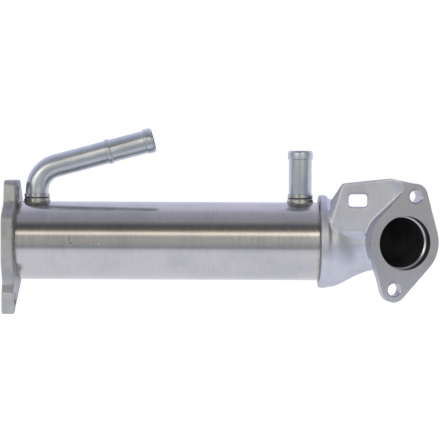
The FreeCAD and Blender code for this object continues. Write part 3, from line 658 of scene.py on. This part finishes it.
    def cutters(self) -> bpy.types.Mesh:
        """Everything that milling and drilling take away.

        Returns:
            A mesh of overlapping closed bodies.
        """
        build = bmesh.new()
        place = self.face_frame
        past, lap = 10 * MM, 0.1 * MM
        milled = 160 * MM
        ledge_edge = self.bore * 0.993
        for ear in self.ears:
            hole = place @ Matrix.Translation(ear)
            drum(build, hole, self.bolt, self.bolt, -self.hole_depth, past, sides=64)
            drum(build, hole, self.bolt, self.bolt + self.bevel + past, -self.bevel, past,
                 sides=64)
        drum(build, place, self.bore, self.bore, -self.bore_depth, past, sides=128)
        drum(build, place, self.throat, ledge_edge, -self.bore_depth - self.ledge,
             -self.bore_depth + lap, sides=128)
        drum(build, place, self.throat, self.throat, -self.throat_depth, past, sides=128)
        over_face = place @ Matrix.Translation((0, 0, past / 2))
        bmesh.ops.create_cube(build, size=1.0,
                              matrix=over_face @ Matrix.Diagonal((milled, milled, past, 1)))
        seat = Matrix.Rotation(math.pi / 2, 4, "Y")
        drum(build, seat, self.seat, self.seat, *self.seat_span, sides=160)
        return mesh_of("casting_cutters", build)

    def duct_axis(self) -> list[tuple[Vector, float]]:
        """Points of the duct's bent axis, each with the radius midway through the wall."""
        start = Vector((226.0, 0, -1.1)) * MM
        corner = Vector((265.15, 0, 0)) * MM
        end = self.port - self.face_frame.col[2].to_3d() * self.plate
        radius_at_port, flare, flare_rate, flare_power = 19.3, 10.0, 2.2, 1.3
        steps = 40
        places = []
        for step in range(steps + 1):
            t = step / steps
            middle = start * (1 - t) ** 2 + corner * (2 * t * (1 - t)) + end * t ** 2
            flared = flare * max(0.0, 1 - flare_rate * t) ** flare_power
            places.append((middle, (radius_at_port + flared) * MM))
        return places

    def is_inside(self, face: bpy.types.MeshPolygon, axis: list[tuple[Vector, float]]) -> bool:
        """Whether a face of the skin is on the duct's inside, where it looks towards the axis."""
        half_wall = 1.5 * MM
        mouth_end, mouth_radius = self.mouth
        point = face.center
        if point.x < mouth_end:
            return math.hypot(point.y, point.z) < mouth_radius
        middle, radius = min(axis, key=lambda place: (place[0] - point).length)
        away = point - middle
        return away.length < radius + half_wall and away.dot(face.normal) < 0

    def build(self) -> bpy.types.Object:
        """Make the casting: blank, soft cast edges, then the milled faces.

        Returns:
            The piece that stands for the casting's solid.
        """
        piece = new_object("outlet_casting_skin", self.blank())
        mould = new_object("casting_mould", self.hollows())
        take_away(piece, "left_out", mould)
        cells = piece.modifiers.new("cells", "REMESH")
        cells.mode = "VOXEL"
        cells.voxel_size = self.voxel
        soft = piece.modifiers.new("soft", "SMOOTH")
        soft.factor = 0.5
        soft.iterations = self.softness
        self.slim(settle(piece))
        bpy.data.objects.remove(mould)
        tool = new_object("casting_tool", self.cutters())
        take_away(piece, "cut", tool)
        mesh = settle(piece)
        bpy.data.objects.remove(tool)
        self.sort_faces(mesh)
        ride_root(piece)
        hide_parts("outlet_casting")
        return piece

    def sort_faces(self, mesh: bpy.types.Mesh) -> None:
        """Smooth the skin, keep milled edges sharp and give each face its finish, with painted
        shade on the faces inside the port and the duct.

        Args:
            mesh: the finished casting.
        """
        dress(mesh, CAST_SKIN, CAST_MILLED, CAST_INSIDE_SHADE)
        milled, inside = 1, 2
        to_face = self.face_frame.inverted()
        out = self.face_frame.col[2].to_3d()
        port_span, port_depth = self.bore * 1.01, self.throat_depth * 1.01
        hole_span = self.bolt + self.bevel * 1.02
        flat, level, sloped = 0.02 * MM, 0.99, 0.5
        axis = self.duct_axis()
        for face in mesh.polygons:
            face.use_smooth = True
            spot = to_face @ face.center
            facing = face.normal.dot(out)
            in_port = math.hypot(spot.x, spot.y) < port_span and -port_depth < spot.z <= 0
            in_hole = any((spot.to_2d() - ear.to_2d()).length < hole_span for ear in self.ears)
            on_face = abs(spot.z) < flat and facing > level
            on_ledge = in_port and facing > sloped
            if on_face or on_ledge or in_hole:
                face.material_index = milled
            # Faces inside the port and the duct take the painted shade finish.
            elif in_port or self.is_inside(face, axis):
                face.material_index = inside
        mesh.set_sharp_from_angle(angle=math.radians(32))
        neighbours: dict[tuple[int, int], set[int]] = {}
        for face in mesh.polygons:
            for key in face.edge_keys:
                neighbours.setdefault(key, set()).add(face.material_index)
        for edge in mesh.edges:
            if len(neighbours[edge.key]) > 1:
                edge.use_edge_sharp = True


# Joints: small fillets of braze metal

@dataclass
class BrazedJoint:
    """Fillet of braze metal where a round piece meets the shell's end or its side.

    Attributes:
        name: name of the piece.
        shell: outside radius of the shell.
        leg: size of the fillet.
        slot: record slot of the piece that it belongs to; not used.
    """

    name: str
    shell: float
    leg: float
    slot: Slot

    def section(self, root: Vector, along: Vector, away: Vector, size: float) -> list[Vector]:
        """Hollow triangle between two faces that meet at a corner.

        Args:
            root: the corner.
            along: way along the first face.
            away: way along the second face.
            size: length of a leg.

        Returns:
            The section's points.
        """
        near, far, sink = 0.12, 0.45, 0.15
        sunk = (along + away) * (-sink * size)
        curve = [root + along * size, root + along * size * far + away * size * near,
                 root + along * size * near + away * size * far, root + away * size]
        return [root + sunk, *curve]

    def lumpy(self, angle: float) -> float:
        """Leg of the fillet at an angle round the joint, a little uneven."""
        lumps, seed, swell = 2.1, self.leg * 900, 0.35
        wander = noise.noise(Vector((math.cos(angle) * lumps, math.sin(angle) * lumps, seed)))
        return self.leg * (1 + swell * wander)

    def finish(self, sections: list[list[Vector]]) -> bpy.types.Object:
        """Make the piece from its sections and dress it."""
        piece = new_object(self.name, swept_ring(self.name, sections))
        dress(piece.data, BRAZE)
        ride_root(piece)
        return piece


@dataclass
class EndJoint(BrazedJoint):
    """Fillet round the shell where it enters a plate or a casting.

    Attributes:
        at: place of the joint along X.
        way: 1 where the shell runs on towards +X, -1 towards -X.
        steps: number of sections round the joint.
    """

    at: float = 0.0
    way: float = 1.0
    steps: int = 180

    def build(self) -> bpy.types.Object:
        """Make the fillet as a turned ring."""
        along = Vector((self.way, 0, 0))
        sections = []
        for index in range(self.steps):
            angle = math.tau * index / self.steps
            out = Vector((0, math.cos(angle), math.sin(angle)))
            root = Vector((self.at, 0, 0)) + out * self.shell
            sections.append(self.section(root, along, out, self.lumpy(angle)))
        return self.finish(sections)


@dataclass
class SaddleJoint(BrazedJoint):
    """Fillet where an upright collar stands on the shell.

    Attributes:
        along: place of the collar along X.
        collar: outside radius of the collar.
        steps: number of sections round the joint.
    """

    along: float = 0.0
    collar: float = 9.1 * MM
    steps: int = 144

    def build(self) -> bpy.types.Object:
        """Make the fillet along the saddle curve."""
        upright = Vector((0, 0, 1))
        sections = []
        for index in range(self.steps):
            angle = math.tau * index / self.steps
            out = Vector((math.cos(angle), math.sin(angle), 0))
            side = out.y * self.collar
            height = math.sqrt(self.shell ** 2 - side ** 2)
            root = Vector((self.along + out.x * self.collar, side, height))
            lean = Vector((0, root.y, root.z)).normalized()
            down = (out - lean * out.dot(lean)).normalized()
            sections.append(self.section(root, upright, down, self.lumpy(angle)))
        return self.finish(sections)


# The solids that stay as they are, with their finishes

@dataclass
class PlainNodes:
    """Solids of the frame that keep their mesh and get a finish, with painted shade in the collars'
    grooves and the pipes' bores.

    Attributes:
        finishes: start of the node names to their finish.
        bevels: node name to the width of the bevel on its edges.
        grooves: name of a collar's node to its place along X.
        groove_span: heights that a collar's groove lies between.
        pipe: a radius just over the pipes' own.
        bores: name of a pipe's node to a span just over its bore.
    """

    finishes: dict[str, Metal] = field(default_factory=lambda: {
        "inlet_flange": PLATE_STEEL,
        "shell": SHELL_TUBE,
        "coolant_inlet_pipe": PIPE_STEEL,
        "coolant_outlet_pipe": PIPE_STEEL,
        "coolant_inlet_collar": TURNED_STEEL,
        "coolant_outlet_collar": TURNED_STEEL,
        "inlet_header_plate": BUNDLE_STEEL,
        "outlet_header_plate": BUNDLE_STEEL,
        "gas_tube": BUNDLE_STEEL,
        "tube_support": BUNDLE_STEEL,
    })
    bevels: dict[str, float] = field(default_factory=lambda: {
        "inlet_flange": 0.7 * MM,
        "coolant_inlet_pipe": 0.12 * MM,
        "coolant_outlet_pipe": 0.12 * MM,
    })
    grooves: dict[str, float] = field(default_factory=lambda: {
        "coolant_inlet_collar": INLET_COLLAR_X,
        "coolant_outlet_collar": OUTLET_COLLAR_X,
    })
    groove_span: tuple[float, float] = (29.7 * MM, 30.7 * MM)
    pipe: float = 8.1 * MM
    bores: dict[str, float] = field(default_factory=lambda: {
        "coolant_inlet_pipe": 14.5 * MM,
        "coolant_outlet_pipe": 14.5 * MM,
    })

    def dress(self) -> list[str]:
        """Dress every node.

        Returns:
            Names of the dressed nodes.
        """
        done = []
        for start, finish in self.finishes.items():
            material = finish.material()
            for name, node in sorted(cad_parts.items()):
                if not name.startswith(start):
                    continue
                node.data.materials.clear()
                node.data.materials.append(material)
                if name in self.bevels:
                    self.soften(node, self.bevels[name])
                # A collar's groove takes painted shade.
                if name in self.grooves:
                    self.paint_groove_shade(node, self.grooves[name])
                # A pipe's bore takes painted shade.
                if name in self.bores:
                    self.paint_bore_shade(node, self.bores[name])
                done.append(name)
        return done

    def paint_groove_shade(self, node: bpy.types.Object, along: float) -> None:
        """Paint shade on the faces of a collar's groove with the dark inside finish.

        Args:
            node: the frame's object.
            along: place of the collar along X.
        """
        node.data.materials.append(CAST_INSIDE_SHADE.material())
        low, high = self.groove_span
        for face in node.data.polygons:
            spot = face.center
            if low < spot.z < high and math.hypot(spot.x - along, spot.y) > self.pipe:
                face.material_index = 1

    def paint_bore_shade(self, node: bpy.types.Object, span: float) -> None:
        """Paint shade on the faces inside a pipe, each opposite a wall, with a nearly black finish.

        Args:
            node: the frame's object.
            span: a length just over the bore.
        """
        lift, opposed = 0.05 * MM, -0.95
        node.data.materials.append(PIPE_BORE_SHADE.material())
        build = bmesh.new()
        build.from_mesh(node.data)
        walls = BVHTree.FromBMesh(build)
        build.free()
        for face in node.data.polygons:
            start = face.center + face.normal * lift
            across = walls.ray_cast(start, face.normal, span)[1]
            if across is not None and across.dot(face.normal) < opposed:
                face.material_index = 1

    def soften(self, node: bpy.types.Object, width: float) -> None:
        """Round the sharp edges of a node.

        Args:
            node: the frame's object.
            width: width of the rounding.
        """
        weld = node.modifiers.new("weld", "WELD")
        weld.merge_threshold = WELD_DISTANCE
        bevel = node.modifiers.new("edges", "BEVEL")
        bevel.width = width
        bevel.segments = 3
        bevel.limit_method = "ANGLE"
        bevel.angle_limit = math.radians(40)
        bevel.harden_normals = True


# Studio

@dataclass
class Studio:
    """Camera, floor and light.

    Attributes:
        aim: point that the camera looks at.
        distance: from the camera to that point.
        rise: camera's elevation in degrees.
        roll: camera's roll in degrees.
        width: width of the view at the aim.
        floor: height of the floor.
        bands: angle over the camera side's horizon, in degrees, and what a mirror sees there.
        strips: angle round the upright axis from the camera side, in degrees, and the light
            there.
        sheen: place along Y in millimetres and what a mirror sees of the floor there.
    """

    aim: Vector = field(default_factory=lambda: Vector((149.25, 0.0, 14.8)) * MM)
    distance: float = 916 * MM
    rise: float = 2.5
    roll: float = 0.26
    width: float = 310.2 * MM
    floor: float = -49.4 * MM
    bands: tuple[tuple[float, tuple[float, float, float]], ...] = (
        (-180, (0.86, 0.86, 0.94)),
        (-12, (0.50, 0.50, 0.49)),
        (1, (0.56, 0.55, 0.52)),
        (6.5, (0.60, 0.59, 0.56)),
        (12, (0.53, 0.52, 0.51)),
        (17, (0.58, 0.56, 0.52)),
        (19.5, (0.90, 0.84, 0.74)),
        (21.5, (1.62, 1.50, 1.30)),
        (26, (1.62, 1.47, 1.24)),
        (29.5, (0.66, 0.57, 0.46)),
        (33, (0.24, 0.21, 0.17)),
        (38, (0.12, 0.12, 0.115)),
        (49, (0.125, 0.125, 0.14)),
        (55, (0.26, 0.26, 0.275)),
        (62, (0.41, 0.41, 0.45)),
        (80, (0.47, 0.47, 0.56)),
        (90, (0.50, 0.50, 0.58)),
        (98, (0.60, 0.60, 0.71)),
        (107, (0.75, 0.74, 0.88)),
        (117, (0.835, 0.83, 1.0)),
        (180, (0.85, 0.86, 1.08)),
    )
    strips: tuple[tuple[float, float], ...] = (
        (-180, 1.0), (-133, 1.1), (-112, 0.78), (-85, 0.85), (-60, 1.3), (-50, 1.8),
        (-44, 3.1), (-31, 3.1), (-25, 1.9), (-18, 1.1), (-8, 1.0), (6, 1.0), (9, 2.7),
        (21, 2.7), (27, 1.8), (36, 1.2), (45, 0.8), (56, 0.62), (75, 0.62), (95, 0.9),
        (113, 1.3), (140, 1.2), (180, 1.0),
    )
    sheen: tuple[tuple[float, tuple[float, float, float]], ...] = (
        (-600, (0.55, 0.55, 0.53)),
        (-300, (0.49, 0.50, 0.49)),
        (-205, (0.41, 0.43, 0.44)),
        (-168, (0.36, 0.38, 0.40)),
        (-138, (0.72, 0.74, 0.79)),
        (-112, (0.90, 0.90, 0.95)),
        (-80, (0.97, 0.97, 1.03)),
        (0, (0.97, 0.97, 1.03)),
    )

    def build(self) -> None:
        """Set the whole studio up."""
        self.add_camera()
        self.add_floor()
        self.add_world()
        self.add_lamp("overhead", Vector((120, -160, 700)) * MM, size=700 * MM, power=6.0)
        bpy.context.scene.view_settings.view_transform = "Standard"

    def add_camera(self) -> None:
        """Stand the camera where the photograph was taken from."""
        lean = math.radians(self.rise)
        spot = self.aim + Vector((0, -math.cos(lean), math.sin(lean))) * self.distance
        data = bpy.data.cameras.new("camera")
        data.sensor_width = 36.0
        data.lens = data.sensor_width * self.distance / self.width
        data.clip_start = 0.01
        camera = bpy.data.objects.new("camera", data)
        camera.location = spot
        camera.rotation_mode = "QUATERNION"
        look = (self.aim - spot).to_track_quat("-Z", "Y")
        camera.rotation_quaternion = look @ Quaternion((0, 0, 1), math.radians(self.roll))
        bpy.context.scene.collection.objects.link(camera)
        bpy.context.scene.camera = camera

    def add_lamp(self, name: str, spot: Vector, size: float, power: float) -> None:
        """Hang a square soft light that looks at the object.

        Args:
            name: name of the lamp.
            spot: its place.
            size: its edge.
            power: its power in watts.
        """
        data = bpy.data.lights.new(name, "AREA")
        data.shape = "SQUARE"
        data.size = size
        data.energy = power
        lamp = bpy.data.objects.new(name, data)
        lamp.location = spot
        lamp.rotation_mode = "QUATERNION"
        lamp.rotation_quaternion = (self.aim - spot).to_track_quat("-Z", "Y")
        lamp.visible_glossy = False
        bpy.context.scene.collection.objects.link(lamp)

    def add_floor(self) -> None:
        """Lay a wide pale sheet that stays white to the camera and keeps the object's shadow."""
        build = bmesh.new()
        bmesh.ops.create_grid(build, x_segments=1, y_segments=1, size=6.0,
                              matrix=Matrix.Translation((self.aim.x, 0, self.floor)))
        sheet = new_object("floor", mesh_of("floor", build))
        material = bpy.data.materials.new("paper sweep, matt white")
        material.use_nodes = True
        tree = material.node_tree
        tree.nodes.clear()
        place = output_of(tree, "ShaderNodeTexCoord", name="Object")
        across = output_of(tree, "ShaderNodeSeparateXYZ", {0: place}, "Y")
        nearest, farthest = self.sheen[-1][0], self.sheen[0][0]
        ahead = remap(tree, across, (farthest * MM, nearest * MM))
        mirrored = colour_by(tree, ahead, [
            ((side - farthest) / (nearest - farthest), (*colour, 1))
            for side, colour in self.sheen])
        matt = output_of(tree, "ShaderNodeBsdfDiffuse", {"Color": (0.86, 0.86, 0.86, 1)})
        white = output_of(tree, "ShaderNodeEmission", {"Color": (1, 1, 1, 1), "Strength": 1.06})
        seen = output_of(tree, "ShaderNodeMixShader", {0: 0.9, 1: matt, 2: white})
        glow = output_of(tree, "ShaderNodeEmission", {"Strength": 1.0, "Color": mirrored})
        show_by_ray(tree, "ShaderNodeOutputMaterial", matt, seen, glow)
        sheet.data.materials.append(material)

    def add_world(self) -> None:
        """White for the camera; for mirrors, a bright room with a dark camera side and strips."""
        world = bpy.data.worlds.new("studio")
        bpy.context.scene.world = world
        world.use_nodes = True
        tree = world.node_tree
        tree.nodes.clear()
        way = output_of(tree, "ShaderNodeTexCoord", name="Generated")
        axes = add_node(tree, "ShaderNodeSeparateXYZ", {0: way}).outputs
        front = compute(tree, "MULTIPLY", axes["Y"], -1.0)
        ramps = []
        for side, stops in (("Z", [(angle, (*colour, 1)) for angle, colour in self.bands]),
                            ("X", [(angle, (light,) * 3 + (1,)) for angle, light in self.strips])):
            turned = compute(tree, "ARCTAN2", axes[side], front)
            share = remap(tree, turned, (-math.pi, math.pi))
            ramps.append(colour_by(tree, share, [
                ((angle + 180) / 360, colour) for angle, colour in stops]))
        # Overhead all strips meet, so their light fades to one there.
        overhead = remap(tree, compute(tree, "ABSOLUTE", axes["Z"]), (0.5, 0.8))
        upright = blend(tree, overhead, ramps[1], (1, 1, 1, 1))
        room = output_of(tree, "ShaderNodeVectorMath",
                         {"operation": "MULTIPLY", 0: ramps[0], 1: upright})
        mirrored = output_of(tree, "ShaderNodeBackground", {"Color": room, "Strength": 1.0})
        plain = output_of(tree, "ShaderNodeBackground",
                          {"Color": (0.9, 0.9, 0.92, 1), "Strength": 0.75})
        white = output_of(tree, "ShaderNodeBackground", {"Color": (1, 1, 1, 1), "Strength": 1.0})
        show_by_ray(tree, "ShaderNodeOutputWorld", plain, white, mirrored)


def main() -> None:
    """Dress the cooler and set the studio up."""
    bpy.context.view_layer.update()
    for name in PlainNodes().dress():
        LOG.info("dressed %s", name)
    inlet_end, outlet_end = (end * MM for end in SHELL_ENDS_MM)
    pieces = [
        OutletCasting(),
        EndJoint("inlet_joint", SHELL_RADIUS, 0.8 * MM, Slot.FLANGE, inlet_end, 1.0),
        EndJoint("outlet_joint", SHELL_RADIUS, 0.7 * MM, Slot.CAST, outlet_end, -1.0),
        SaddleJoint("coolant_inlet_joint", SHELL_RADIUS, 0.9 * MM, Slot.PIPE, INLET_COLLAR_X),
        SaddleJoint("coolant_outlet_joint", SHELL_RADIUS, 0.9 * MM, Slot.PIPE, OUTLET_COLLAR_X),
    ]
    for piece in pieces:
        made = piece.build()
        LOG.info("built %s, %d faces", made.name, len(made.data.polygons))
    Studio().build()


if __name__ == "__main__":
    main()
